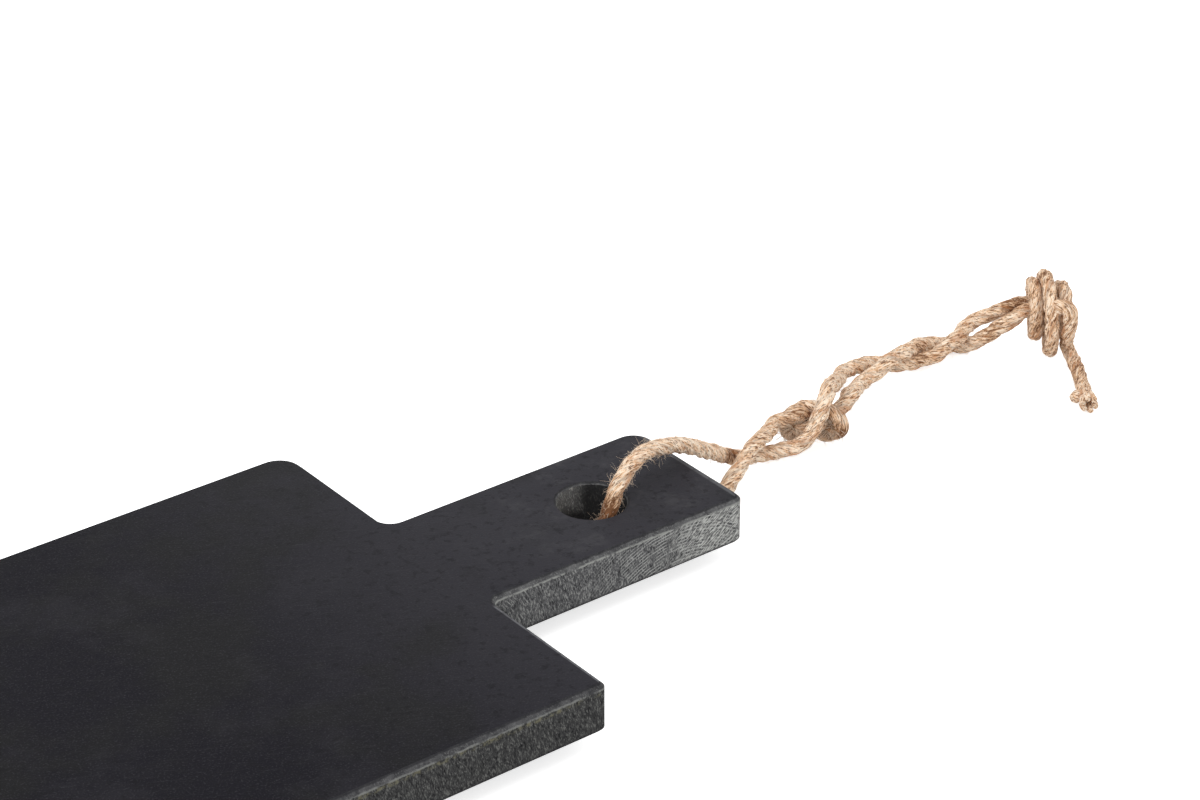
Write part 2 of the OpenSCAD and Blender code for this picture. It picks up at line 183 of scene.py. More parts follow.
class BoardStage(bpy.types.PropertyGroup):
    """The floor and the light."""

    floor: colour_prop("Floor", "Colour of the floor", (0.86, 0.86, 0.86))
    sky_strength: FloatProperty(name="Sky", description="Strength of the light from all sides", default=0.95)
    key_power: FloatProperty(name="Lamp", description="Power of the large lamp", default=11, unit="POWER")


# Lines and tubes

# Steps between two points of a route before they are evened out
DENSE_STEPS = 24
# The rope's steps, a coarser one that nothing uses and the one used, and those of the locks
QUICK_STEP, STEP, LOCK_STEP = 0.0008, 0.0004, 0.0003
# Points round the rope, and round a lock
ROPE_SIDES, LOCK_SIDES = 72, 40
# The least height of the rope and its fibres above the floor
FLOOR_GAP = 0.0002
# How deep a loose fibre is rooted in the rope
ROOT_DEPTH = 0.00015


def heading(points, i):
    """The direction of a line of points at one of them."""
    return (points[min(i + 1, len(points) - 1)] - points[max(i - 1, 0)]).normalized()


def sideways(direction):
    """A direction square to the given one, level where it can be."""
    return direction.cross(UP if abs(direction.z) < 0.9 else Vector((1, 0, 0)))


def above_floor(place):
    return Vector((place.x, place.y, max(place.z, FLOOR_GAP)))


def smooth_line(points, step):
    """Points at even steps along a smooth curve through the given points."""
    last = len(points) - 1
    gaps = [(b - a).length for a, b in zip(points, points[1:])]
    runs = [(b - a) / gap for a, b, gap in zip(points, points[1:], gaps)]
    slopes = [runs[0]]
    for i in range(1, last):
        slopes.append((runs[i - 1] * gaps[i] + runs[i] * gaps[i - 1]) / (gaps[i] + gaps[i - 1]))
    slopes.append(runs[-1])
    dense = []
    for i in range(last):
        for k in range(DENSE_STEPS):
            t = k / DENSE_STEPS
            dense.append(
                (2 * t**3 - 3 * t**2 + 1) * points[i]
                + (t**3 - 2 * t**2 + t) * gaps[i] * slopes[i]
                + (3 * t**2 - 2 * t**3) * points[i + 1]
                + (t**3 - t**2) * gaps[i] * slopes[i + 1]
            )
    dense.append(points[last].copy())
    total = sum((b - a).length for a, b in zip(dense, dense[1:]))
    count = max(2, round(total / step))
    even, travelled, goal = [dense[0]], 0.0, total / count
    for a, b in zip(dense, dense[1:]):
        length = (b - a).length
        while length > 0 and travelled + length >= goal - 1e-9 and len(even) < count:
            even.append(a.lerp(b, (goal - travelled) / length))
            goal += total / count
        travelled += length
    even.append(dense[-1])
    return even


class RopeLine:
    """A smooth line with its direction and two sideways directions at each step."""

    def __init__(self, points, step, seed):
        self.points = smooth_line(points, step)
        self.seed = seed
        self.along, self.side, self.other, self.travelled = [], [], [], [0.0]
        self.last = len(self.points) - 1
        side = sideways(heading(self.points, 0))
        for i, point in enumerate(self.points):
            direction = heading(self.points, i)
            side = (side - side.dot(direction) * direction).normalized()
            self.along.append(direction)
            self.side.append(side.copy())
            self.other.append(direction.cross(side))
            if i:
                self.travelled.append(self.travelled[-1] + (point - self.points[i - 1]).length)

    def nearest(self, place):
        """The index of the step nearest to a place."""
        return min(range(len(self.points)), key=lambda i: (self.points[i] - place).length)


def eased(low, high, value):
    """From 0 at low to 1 at high, with soft ends."""
    t = min(1.0, max(0.0, (value - low) / (high - low)))
    return t * t * (3 - 2 * t)


# How far the fibres turn round the rope, in radians a metre: the same way as its strands
FIBRE_TURN = -180
# How far the rope wanders from its line
WANDER = 0.00018


def fibre_relief(x, y, s, seed):
    """Height of the raised fibres at a place round and along a rope."""
    ridge = noise.noise(Vector((x / 0.0009, y / 0.0009, s / 0.0042 + seed)))
    fine = noise.noise(Vector((x / 0.00038, y / 0.00038, s / 0.0019 - seed)))
    return 0.00015 * ridge + 0.00009 * fine


def rope_radius(line, i, angle, radius, sizes):
    """The rope's radius at a step and an angle, with its twisted strands and raised fibres, and how deep
    that place lies: 0 on a strand, 1 in the valley between two."""
    s, seed = line.travelled[i], line.seed
    turn = 2 * math.pi * s / sizes.lay_length + 1.1 * noise.noise(Vector((s / 0.009, seed, 0)))
    strand_angle = angle - turn
    strand = int(((strand_angle + math.pi / sizes.strands) // (2 * math.pi / sizes.strands)) % sizes.strands)
    depth = (0.5 - 0.5 * math.cos(sizes.strands * strand_angle)) ** 1.6
    share = 1 - (0.145 + 0.08 * noise.noise(Vector((s / 0.007, seed, 5)))) * depth
    plump = 1 + 0.09 * (1 - depth) * noise.noise(Vector((s / 0.0036, strand * 5.7 + seed, 3)))
    plump += 0.05 * noise.noise(Vector((s / 0.012, seed, 9)))
    swept = angle + s * FIBRE_TURN
    relief = fibre_relief(radius * math.cos(swept), radius * math.sin(swept), s, seed)
    return radius * share * plump + relief, depth


def rope_place(line, i, angle, distance):
    """The place at a step, an angle and a distance from the rope's middle, which wanders a little."""
    s = line.travelled[i]
    shift_a, shift_b = (WANDER * noise.noise(Vector((s / 0.008, line.seed, z))) for z in (21, 37))
    return (
        line.points[i]
        + (math.cos(angle) * distance + shift_a) * line.side[i]
        + (math.sin(angle) * distance + shift_b) * line.other[i]
    )


def dark_share(place):
    """How much darker the rope is painted at a place: mostly painted shade, partly darker jute."""
    return max(
        amount * (1 - eased(0, reach * MM, (place - Vector(middle) * MM).length))
        for middle, reach, amount in DARK_AND_SHADED_PLACES
    )


def jute_piece(name, made, material, darkened=1.0):
    """A finished piece of jute from its lists of points, faces, fibre places and depths. Its mesh keeps
    each point's place along and round the rope, how deep it lies, and how dark it is painted, mostly as
    painted shade."""
    verts, faces, fibres, depths = made
    mesh = bpy.data.meshes.new(name)
    mesh.from_pydata(verts, [], faces)
    mesh.materials.append(material)
    mesh.polygons.foreach_set("use_smooth", [True] * len(mesh.polygons))
    mesh.update()
    piece = bpy.data.objects.new(name, mesh)
    bpy.context.scene.collection.objects.link(piece)
    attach(piece, "root")
    held = mesh.attributes.new("fibre_place", "FLOAT_VECTOR", "POINT")
    held.data.foreach_set("vector", [c for v in fibres for c in v])
    dark = [darkened * dark_share(vertex.co) for vertex in mesh.vertices]
    for key, values in (("fibre_depth", depths), ("fibre_dark_and_shade", dark)):
        mesh.attributes.new(key, "FLOAT", "POINT").data.foreach_set("value", values)
    return piece


def ring_edges(start, count):
    """The pairs of points along a ring whose points start at an index."""
    return [(start + k, start + (k + 1) % count) for k in range(count)]


def add_tube(made, line, first, last, distance_at, sides):
    """Adds a closed tube along part of a line to a piece's lists. distance_at gives the distance from
    the middle and the depth for a step and an angle."""
    verts, faces, fibres, depths = made
    start = len(verts)
    for i in range(first, last + 1):
        s = line.travelled[i]
        for k in range(sides):
            angle = 2 * math.pi * k / sides
            distance, depth = distance_at(i, angle)
            verts.append(above_floor(rope_place(line, i, angle, distance)))
            swept = angle + s * FIBRE_TURN
            fibres.append((distance * math.cos(swept), distance * math.sin(swept), s + line.seed))
            depths.append(depth)
    for ring in range(last - first):
        for a, b in ring_edges(start + ring * sides, sides):
            faces.append((a, b, b + sides, a + sides))
    for ring, turned in ((0, True), (last - first, False)):
        middle = len(verts)
        verts.append(line.points[first + ring].copy())
        fibres.append((0, 0, line.travelled[first + ring] + line.seed))
        depths.append(1.0)
        for a, b in ring_edges(start + ring * sides, sides):
            faces.append((b, a, middle) if turned else (a, b, middle))


def rope_piece(name, run, sizes, material):
    """One closed tube of laid strands along a run: a line, its first and last step, and its radius."""
    line, first, last, radius_at = run
    made = [], [], [], []

    def distance_at(i, angle):
        return rope_radius(line, i, angle, radius_at(i), sizes)

    add_tube(made, line, first, last, distance_at, ROPE_SIDES)
    return jute_piece(name, made, material)


def lock_piece(name, locks, material):
    """Untwisted locks of fibres as one piece. Each lock is its points, its radii at them, and a seed."""
    made = [], [], [], []
    for points, radii, seed in locks:
        line = RopeLine(points, LOCK_STEP, seed)

        def distance_at(i, angle, line=line, radii=radii, seed=seed):
            s = line.travelled[i]
            share = s / line.travelled[-1] * (len(radii) - 1)
            low = min(int(share), len(radii) - 2)
            radius = radii[low] + (radii[low + 1] - radii[low]) * (share - low)
            swept = angle + s * FIBRE_TURN
            x, y = radius * math.cos(swept), radius * math.sin(swept)
            knobbly = 1 + 0.2 * noise.noise(Vector((x / 0.0012, y / 0.0012, s / 0.0018 + seed)))
            return radius * knobbly + 1.2 * fibre_relief(x, y, s, seed), 0.35

        add_tube(made, line, 0, line.last, distance_at, LOCK_SIDES)
    return jute_piece(name, made, material)


def add_hair(made, places, thickness, seed):
    """Adds a thin tapered fibre through the given places to a piece's lists."""
    verts, faces, fibres, depths = made
    places = [above_floor(place) for place in places]
    start, last = len(verts), len(places) - 1
    for i, place in enumerate(places):
        direction = heading(places, i)
        side = sideways(direction).normalized()
        other = direction.cross(side)
        radius = thickness / 2 * (1 - 0.75 * (i / last) ** 1.5)
        for k in range(3):
            angle = 2 * math.pi * k / 3
            verts.append(place + radius * (math.cos(angle) * side + math.sin(angle) * other))
            fibres.append((seed, k * 0.0001, i * 0.001))
            depths.append(0.0)
    for i in range(last):
        for a, b in ring_edges(start + 3 * i, 3):
            faces.append((a, b, b + 3, a + 3))
    faces.append((start + 2, start + 1, start))
    end = start + 3 * last
    faces.append((end, end + 1, end + 2))


def hair_piece(name, run, sizes, material, per_mm, shortest, longest, lift, seed):
    """The loose fibres on a run of rope, their lengths in millimetres. lift runs from 0, lying down, to
    1, standing up."""
    line, first, last, radius_at = run
    chance = random.Random(seed)
    made = [], [], [], []
    length = line.travelled[last] - line.travelled[first]
    shortest, longest = shortest * MM, longest * MM
    for _ in range(int(length / MM * per_mm)):
        i = chance.randint(first, last)
        angle = chance.uniform(0, 2 * math.pi)
        distance = rope_radius(line, i, angle, radius_at(i), sizes)[0]
        out = math.cos(angle) * line.side[i] + math.sin(angle) * line.other[i]
        around = line.along[i].cross(out)
        base = rope_place(line, i, angle, distance - ROOT_DEPTH)
        rise = lift * chance.uniform(0.5, 1.2)
        onward = chance.choice((-1, 1)) * line.along[i] + chance.uniform(-0.7, 0.7) * around
        direction = (rise * out + (1 - min(rise, 0.9)) * onward).normalized()
        curl = chance.uniform(-0.9, 0.9) * around + chance.uniform(-0.8, 0.5) * out
        curl += chance.uniform(-0.4, 0.4) * UP
        reach = shortest + (longest - shortest) * chance.random() ** 2.2
        bend = Vector([chance.uniform(-0.3, 0.3) for _ in range(3)])
        places = [
            base + reach * (t * direction + 0.8 * t * t * curl + math.sin(5 * t) * bend)
            for t in (0, 0.17, 0.33, 0.5, 0.67, 0.83, 1)
        ]
        thickness = sizes.hair_thickness * chance.uniform(0.6, 1.15)
        add_hair(made, places, thickness, chance.random())
    return jute_piece(name, made, material, darkened=0.3)


def fuzz_piece(name, sizes, material, seed):
    """The stopper knot's frayed lumps: balls of fibres that radiate from a middle."""
    chance = random.Random(seed)
    made = [], [], [], []
    for middle, reach, count in STOPPER_FUZZ:
        for _ in range(count):
            outward, curl = (Vector([chance.gauss(0, 1) for _ in range(3)]).normalized() for _ in range(2))
            length, root = reach * MM * chance.uniform(0.75, 1.15), Vector(middle) * MM
            places = [root + length * (t * outward + 0.3 * t * t * curl) for t in (0.1, 0.4, 0.7, 1)]
            add_hair(made, places, sizes.hair_thickness * chance.uniform(1.2, 2.4), chance.random())
    return jute_piece(name, made, material, darkened=0.35)


def lock(points, radii, seed):
    """A lock from points and radii in millimetres."""
    return metres(points), [radius * MM for radius in radii], seed


def filling_locks():
    """The bundled fibres between the end knot's turns, made dark there by painted shade."""
    locks = []
    for along, low, high, seed in ((-3.8, -6.4, 5.5, 22.1), (1.8, -10, 5, 27.9)):
        middle = WINDING_CENTRE + along * WINDING_AXIS.normalized()
        points = [middle + height * UP for height in (low, (low + high) / 2, high)]
        locks.append(lock(points, (2.6, 3.1, 3.1, 2.4), seed))
    return locks


def lump_locks():
    """The frayed lumps' cores: a short fat lock in each of the stopper knot's two eyes."""
    towards = STOPPER_TOWARDS.normalized()
    locks = []
    for (middle, reach, _), seed in zip(STOPPER_FUZZ, (12.4, 15.8)):
        points = [Vector(middle) + step * towards for step in (-5, -3, -1, 0.6, 1.8)]
        locks.append(lock(points, [share * reach for share in (0.5, 0.74, 0.8, 0.7, 0.4)], seed))
    return locks


# The rope's lines, made once and cut into runs


def stopper_route():
    up = STOPPER_TOWARDS.cross(STOPPER_ACROSS).normalized()
    half = STOPPER_HALF_ROUTE
    local = [STOPPER_ENTRY, *half, *[(-x, y, -z) for x, y, z in reversed(half[:-1])], STOPPER_EXIT]
    across, towards = STOPPER_ACROSS.normalized(), STOPPER_TOWARDS.normalized()
    return [STOPPER_CENTRE + x * across + y * up + z * towards for x, y, z in local]


def run_on(points, length):
    """A point straight on from the last one."""
    return points[-1] + length * (points[-1] - points[-2]).normalized()


def led_out(points, before, after):
    """The points with a straight run added at each end."""
    return [run_on(points[::-1], before), *points, run_on(points, after)]


def winding_lean(angle):
    for (low, lean), (high, next_lean) in zip(WINDING_LEANS, WINDING_LEANS[1:]):
        if angle <= high:
            return lean + (next_lean - lean) * eased(low, high, angle)


def winding_route():
    """The end knot's turns. They start behind the legs, and the ones in front lean against each other."""
    points = []
    start, end, rises, falls, count = -110, 830, 180, 720, 64
    for i in range(count + 1):
        angle = start + (end - start) * i / count
        radius = WINDING_RADIUS
        if rises <= angle <= falls:
            bulge = (1 - math.cos(math.radians(360 * (angle - rises) / (falls - rises)))) / 2
            radius += (WINDING_BULGE_RADIUS - WINDING_RADIUS) * bulge
        radius -= 0.7 * eased(620, 690, angle) * (1 - eased(760, 820, angle))
        rise = 1 - eased(150, 260, angle)
        turn = math.radians(angle)
        points.append(
            WINDING_CENTRE
            + (WINDING_PITCH * (angle - 450) / 360 - winding_lean(angle)) * WINDING_AXIS
            + rise * UP
            + radius * (math.cos(turn) * UP - math.sin(turn) * WINDING_AWAY)
        )
    return led_out(points, 2, WINDING_LEAD)


def core_points(side):
    """Where a leg ends inside the winding."""
    return [
        WINDING_CENTRE + along * WINDING_AXIS - side * 2.65 * WINDING_AWAY + 2.2 * UP
        for along in (-1.5 * WINDING_PITCH, 1.2 * WINDING_PITCH)
    ]


def tuft_locks():
    """A ring of splayed locks round a hollow, and the short one that sticks out beside them."""
    root, before = Vector(TAIL_ROUTE[-1]), Vector(TAIL_ROUTE[-2])
    ahead = (root - before).normalized()
    side = ahead.cross(UP).normalized()
    over = side.cross(ahead)
    shape = ((-1.5, 1.1), (1.5, 1.3), (4.5, 1.6), (6.8, 2.1), (8.6, 2.3), (9.7, 2.2))
    locks = []
    for k, seed in enumerate((2.3, 5.1, 8.6, 11.9, 14.2, 17.7)):
        turn = 2 * math.pi * k / 6 + 0.3
        out = math.cos(turn) * side + math.sin(turn) * over
        points = [root + along * ahead + away * out + 0.05 * along * UP for along, away in shape]
        locks.append(lock(points, (1.1, 1.15, 1.2, 1.25, 1.2, 0.9), seed))
    start = root + 1.6 * ahead + 0.3 * UP
    nub = [start] + [start + Vector(step) for step in ((-1.6, 0.9, -0.2), (-3.4, 1.3, -0.7), (-5, 1.5, -1))]
    return locks + [lock(nub, (1.5, 1.7, 2, 1.9, 1.2), 3.7)]


def crossing_points():
    """The short run of rope that comes out beside the middle turn and crosses the last one."""
    side, towards = WINDING_AXIS.normalized(), Vector((-0.537, -0.691, 0.484))
    route = [
        (-2.6, 5.6, 1), (-0.4, 6.1, 3.2), (1.8, 6, 5.2), (3.6, 4.5, 6), (4.4, 1.4, 5.6), (4.2, -3.2, 4.2),
        (4.6, -8.8, 0.2),
    ]
    return [WINDING_CENTRE + x * side + y * UP - 9 * WINDING_AWAY + z * towards for x, y, z in route]


def rope_runs(sizes):
    """The rope's runs by name: for each one its line, its first and last step, and its radius at a step."""
    step = STEP
    stopper = led_out(stopper_route(), STOPPER_LEAD, STOPPER_LEAD)
    winding = winding_route()
    tail = [Vector(point) for point in TAIL_ROUTE]
    upper = RopeLine(metres(UPPER_LEG_ROUTE + core_points(-1)), step, 1.7)
    lower_route = [*LOWER_LEG_ROUTE, *stopper, run_on(stopper, 3), *FAR_LEG_ROUTE, *core_points(1)]
    lower = RopeLine(metres(lower_route), step, 4.3)
    wound = RopeLine(metres([*winding, run_on(winding, 1.25), *tail, run_on(tail, 4)]), step, 7.9)
    across = RopeLine(metres(crossing_points()), STEP, 6.2)
    stopper_start, stopper_end = lower.nearest(stopper[0] * MM), lower.nearest(stopper[-1] * MM)
    winding_end, tail_end = wound.nearest(winding[-1] * MM), wound.nearest(tail[-1] * MM)

    def squeezed(line, i):
        """The change in a leg's diameter inside the end knot."""
        end = line.travelled[-1]
        share = eased(end - 0.022, end - 0.012, line.travelled[i])
        return (sizes.wound_diameter - 0.0004 - sizes.free_diameter) * share

    def upper_radius(i):
        return (sizes.free_diameter + squeezed(upper, i)) / 2

    def lower_radius(i):
        s, start, end = (lower.travelled[k] for k in (i, stopper_start, stopper_end))
        cinched = eased(start - 0.004, start + 0.006, s) * (1 - eased(end - 0.006, end + 0.004, s))
        diameter = sizes.free_diameter + (sizes.cinched_diameter - sizes.free_diameter) * cinched
        return (diameter + squeezed(lower, i)) / 2

    def wound_radius(i):
        turned = wound.travelled[winding_end]
        slimmer = eased(turned - 0.004, turned + 0.006, wound.travelled[i])
        return (sizes.wound_diameter + (sizes.tail_diameter - sizes.wound_diameter) * slimmer) / 2

    def across_radius(i):
        return sizes.free_diameter / 2 * (1 - 0.4 * eased(0.72, 1, i / across.last))

    return {
        "upper_leg": (upper, 0, upper.last, upper_radius),
        "hole": (upper, 0, upper.nearest(Vector(UPPER_LEG_ROUTE[6]) * MM), upper_radius),
        "lower_leg": (lower, 0, stopper_start, lower_radius),
        "stopper": (lower, stopper_start, stopper_end, lower_radius),
        "far_leg": (lower, stopper_end, lower.last, lower_radius),
        "winding": (wound, 0, winding_end, wound_radius),
        "tail": (wound, winding_end, tail_end, wound_radius),
        "tail and tuft": (wound, winding_end, wound.last, wound_radius),
        "crossing": (across, 0, across.last, across_radius),
    }


# Shader nodes

# The kinds of a group's sockets
VECTOR, NUMBER, COLOUR = "NodeSocketVector", "NodeSocketFloat", "NodeSocketColor"


class Shading:
    """Adds linked nodes to a node tree."""

    def __init__(self, tree):
        self.tree = tree

    def fill(self, node, inputs):
        """Links a node's inputs, or sets their values."""
        for key, value in inputs.items():
            socket = node.inputs[key]
            if isinstance(value, bpy.types.NodeSocket):
                self.tree.links.new(value, socket)
            else:
                socket.default_value = (*value, 1) if socket.type == "RGBA" else value

    def put(self, kind, inputs=None, **settings):
        node = self.tree.nodes.new(kind)
        for key, value in settings.items():
            setattr(node, key, value)
        self.fill(node, inputs or {})
        return node

    def math(self, operation, a, b=0.0, clamp=False):
        return self.put("ShaderNodeMath", {0: a, 1: b}, operation=operation, use_clamp=clamp).outputs[0]

    times = partialmethod(math, "MULTIPLY")
    plus = partialmethod(math, "ADD")
    minus = partialmethod(math, "SUBTRACT")
    most = partialmethod(math, "MAXIMUM")

    def apart(self, a, b):
        """How far two values lie from each other."""
        return self.math("ABSOLUTE", self.minus(a, b))

    def vector(self, operation, a, b):
        return self.put("ShaderNodeVectorMath", {0: a, 1: b}, operation=operation).outputs[0]

    def turned(self, place, turn):
        return self.put("ShaderNodeMapping", {"Vector": place, "Rotation": turn}).outputs[0]

    def noise(self, place, scales=None, scale=1, detail=2, roughness=0.5, distortion=0):
        """Noise with one scale, or with one for each axis."""
        if scales:
            place = self.vector("MULTIPLY", place, scales)
        inputs = {"Vector": place, "Scale": scale, "Detail": detail, "Roughness": roughness}
        return self.put("ShaderNodeTexNoise", {**inputs, "Distortion": distortion}).outputs["Fac"]

    def span(self, value, low, high, to_low=0.0, to_high=1.0, kind="SMOOTHSTEP"):
        inputs = {"Value": value, "From Min": low, "From Max": high, "To Min": to_low, "To Max": to_high}
        return self.put("ShaderNodeMapRange", inputs, interpolation_type=kind).outputs["Result"]

    def mix(self, share, a, b, strength=1, blend="MIX"):
        if strength != 1:
            share = self.times(share, strength)
        inputs = {0: share, 6: a, 7: b}
        return self.put("ShaderNodeMix", inputs, data_type="RGBA", blend_type=blend).outputs[2]

    def bump(self, height, strength, distance):
        inputs = {"Height": height, "Strength": strength, "Distance": distance}
        return self.put("ShaderNodeBump", inputs).outputs["Normal"]


def new_group(name, inputs, outputs):
    """Makes a shader node group with named sockets. Its shading, inputs and output node fill it."""
    group = bpy.data.node_groups.new(name, "ShaderNodeTree")
    for side, sockets in (("INPUT", inputs), ("OUTPUT", outputs)):
        for label, kind in sockets.items():
            group.interface.new_socket(name=label, in_out=side, socket_type=kind)
    sh = Shading(group)
    return sh, sh.put("NodeGroupInput").outputs, sh.put("NodeGroupOutput")


def jute_fibres():
    """Jute fibres: light, plain, ginger and dark ones, flecks of bark, painted shade in the valleys between
    strands and at the given places, and their height.
    """
    sh, given, result = new_group(
        "jute_fibres",
        {
            "Place": VECTOR, "Depth": NUMBER, "Dark and shade share": NUMBER,
            "Light": COLOUR, "Plain": COLOUR, "Ginger": COLOUR, "Dark": COLOUR,
        },
        {"Color": COLOUR, "Height": NUMBER, "Roughness": NUMBER},
    )
    place, shade = given["Place"], given["Dark and shade share"]
    streaks = sh.noise(place, (2000, 2000, 420), detail=4, roughness=0.72, distortion=0.8)
    bundles = sh.noise(place, (760, 760, 240), detail=3)
    clouds = sh.vector("ADD", sh.vector("MULTIPLY", place, (420, 420, 170)), (9, 1, 4))
    flecks = sh.vector("ADD", sh.vector("MULTIPLY", place, (2300, 2300, 800)), (7, 3, 5))
    tone = sh.plus(sh.times(streaks, 0.68), sh.times(bundles, 0.32))
    # Painted shade lowers the tone at the given places
    tone = sh.minus(tone, sh.times(shade, 0.17))
    colour = sh.mix(sh.span(tone, 0.375, 0.455), given["Dark"], given["Plain"])
    colour = sh.mix(sh.span(tone, 0.455, 0.535), colour, given["Light"])
    colour = sh.mix(sh.span(sh.noise(clouds, detail=4), 0.53, 0.66), colour, given["Ginger"], 0.65)
    flecked = sh.times(sh.span(sh.noise(flecks, detail=2.5), 0.55, 0.63), 0.9)
    # Painted shade: the dark colour in the valleys between strands and at the given places
    deep = sh.times(sh.span(given["Depth"], 0.45, 1), sh.span(bundles, 0.42, 0.6, 0, 0.45))
    deep = sh.most(deep, sh.times(shade, 0.25))
    colour = sh.mix(sh.most(flecked, deep), colour, given["Dark"])
    height = sh.plus(sh.times(streaks, 0.8), bundles)
    sh.fill(result, {"Color": colour, "Height": height, "Roughness": sh.span(streaks, 0.3, 0.7, 0.95, 0.7)})


def fine_grain():
    """Fine grain with slow clouds: two masks and a height, for stone and rubber."""
    sh, given, result = new_group(
        "fine_grain",
        {"Place": VECTOR, "Grain size": NUMBER, "Cloud size": NUMBER},
        {"Grain": NUMBER, "Clouds": NUMBER, "Height": NUMBER},
    )
    grain_scale, cloud_scale = (sh.math("DIVIDE", 1, given[size]) for size in ("Grain size", "Cloud size"))
    grain = sh.noise(given["Place"], scale=grain_scale, detail=3)
    clouds = sh.noise(given["Place"], scale=cloud_scale, detail=4, roughness=0.62)
    sh.fill(result, {"Grain": grain, "Clouds": clouds, "Height": sh.plus(grain, sh.times(clouds, 0.3))})


def scratches():
    """Fine straight scratches that run along the given stretch, as a mask."""
    sh, given, result = new_group(
        "scratches", {"Place": VECTOR, "Turn": VECTOR, "Stretch": VECTOR, "Share": NUMBER}, {"Mask": NUMBER}
    )
    stretched = sh.vector("MULTIPLY", sh.turned(given["Place"], given["Turn"]), given["Stretch"])
    lines = sh.noise(stretched, detail=1.5, distortion=0.25)
    mask = sh.span(lines, given["Share"], sh.plus(given["Share"], 0.09), kind="LINEAR")
    sh.fill(result, {"Mask": mask})


def sanding_strokes():
    """Short upright sanding strokes: masks of the high and the deep ones, and their height."""
    sh, given, result = new_group(
        "sanding_strokes",
        {"Place": VECTOR, "Turn": VECTOR},
        {"High": NUMBER, "Deep": NUMBER, "Height": NUMBER},
    )
    place = sh.turned(given["Place"], given["Turn"])
    fine = sh.noise(place, (2700, 2700, 720), detail=4, roughness=0.72, distortion=0.35)
    wide = sh.noise(place, (900, 900, 260), detail=3)
    height = sh.plus(sh.times(fine, 0.8), sh.times(wide, 0.2))
    high, deep = sh.span(height, 0.52, 0.6), sh.span(height, 0.485, 0.42)
    sh.fill(result, {"High": high, "Deep": deep, "Height": height})


def grinding_arcs():
    """Curved grinding marks round a centre, as a mask."""
    sh, given, result = new_group(
        "grinding_arcs",
        {"Place": VECTOR, "Centre": VECTOR, "Closeness": NUMBER, "Share": NUMBER},
        {"Mask": NUMBER},
    )
    place = sh.vector("SUBTRACT", given["Place"], given["Centre"])
    wave = sh.put(
        "ShaderNodeTexWave",
        {"Vector": place, "Scale": given["Closeness"], "Distortion": 2.2, "Detail": 3, "Detail Scale": 0.9},
        wave_type="RINGS",
        rings_direction="SPHERICAL",
    ).outputs["Fac"]
    broken = sh.noise(given["Place"], scale=230, detail=3)
    kept = sh.span(broken, given["Share"], sh.plus(given["Share"], 0.12), kind="LINEAR")
    sh.fill(result, {"Mask": sh.times(sh.span(wave, 0.72, 1), kept)})


def placed(sh, group_maker, inputs):
    """The outputs of a shader node group placed in a material. A group is made on its first use."""
    groups = bpy.data.node_groups
    if group_maker.__name__ not in groups:
        group_maker()
    return sh.put("ShaderNodeGroup", inputs, node_tree=groups[group_maker.__name__]).outputs


def new_material(name):
    material = bpy.data.materials.new(name)
    material.use_nodes = True
    return material, Shading(material.node_tree), material.node_tree.nodes["Principled BSDF"]


def jute_material(name, lighter=0.0):
    """Laid jute. lighter is how far the colours go towards the lightest one, as on loose fibres."""
    colours = bpy.context.scene.board_colours
    material, sh, surface = new_material(name)
    light = Vector(colours.jute_light)
    given = {
        "Place": sh.put("ShaderNodeAttribute", attribute_name="fibre_place").outputs["Vector"],
        "Depth": sh.put("ShaderNodeAttribute", attribute_name="fibre_depth").outputs["Fac"],
        "Dark and shade share": sh.put("ShaderNodeAttribute", attribute_name="fibre_dark_and_shade").outputs["Fac"],
        "Light": light,
        "Plain": Vector(colours.jute).lerp(light, lighter),
        "Ginger": Vector(colours.jute_ginger).lerp(light, lighter),
        "Dark": Vector(colours.jute_dark).lerp(light, 0.5 * lighter),
    }
    made = placed(sh, jute_fibres, given)
    looks = {
        "Base Color": made["Color"],
        "Roughness": made["Roughness"],
        "Normal": sh.bump(made["Height"], 1, 0.0003),
        "Specular IOR Level": 0.3,
        "Sheen Weight": 0.06,
        "Sheen Roughness": 0.4,
    }
    sh.fill(surface, looks)
    return material


# The middle of the hole, the height of the sides' middle, and half the sides' height, in metres
HOLE_X = 0.1605
SIDE_MIDDLE_Z = 0.0147
SIDE_HALF_HEIGHT = 0.0067

# The slate's fixed colours: on its faces, sides, hole and chamfers, some of them painted light or shade; and
# the rubber's dust
CLOUD = (0.027, 0.026, 0.031)
GRAIN = (0.039, 0.038, 0.044)
MOTTLE = (0.005, 0.0048, 0.0065)
SMUDGE = (0.058, 0.057, 0.062)
BRUSHED = (0.09, 0.088, 0.095)
RIM_WEAR_AND_HIGHLIGHT = (0.145, 0.147, 0.156)
PALE_MOTTLE = (0.15, 0.151, 0.152)
ARC = (0.46, 0.465, 0.45)
DUST = (0.205, 0.208, 0.2)
DUSTY_GROOVE = (0.04, 0.04, 0.041)
DIAGONAL = (0.56, 0.565, 0.54)
BODY_SHADE = (0.43, 0.43, 0.42)
OCHRE = (0.17, 0.16, 0.105)
WALL = (0.15, 0.15, 0.148)
WALL_STROKE = (0.42, 0.42, 0.4)
WALL_SHADE = (0.012, 0.012, 0.013)
CHAMFER = (0.055, 0.055, 0.058)
PALE_CHAMFER = (0.115, 0.115, 0.117)
CHAMFER_SHADE = (0.6, 0.6, 0.62)
CHAMFER_LINE = (0.02, 0.02, 0.023)
WEAR_AND_HIGHLIGHT = (0.29, 0.295, 0.28)
UNDERSIDE_SHADE = (0.018, 0.018, 0.02)
RUBBER_DUST = (0.05, 0.049, 0.047)


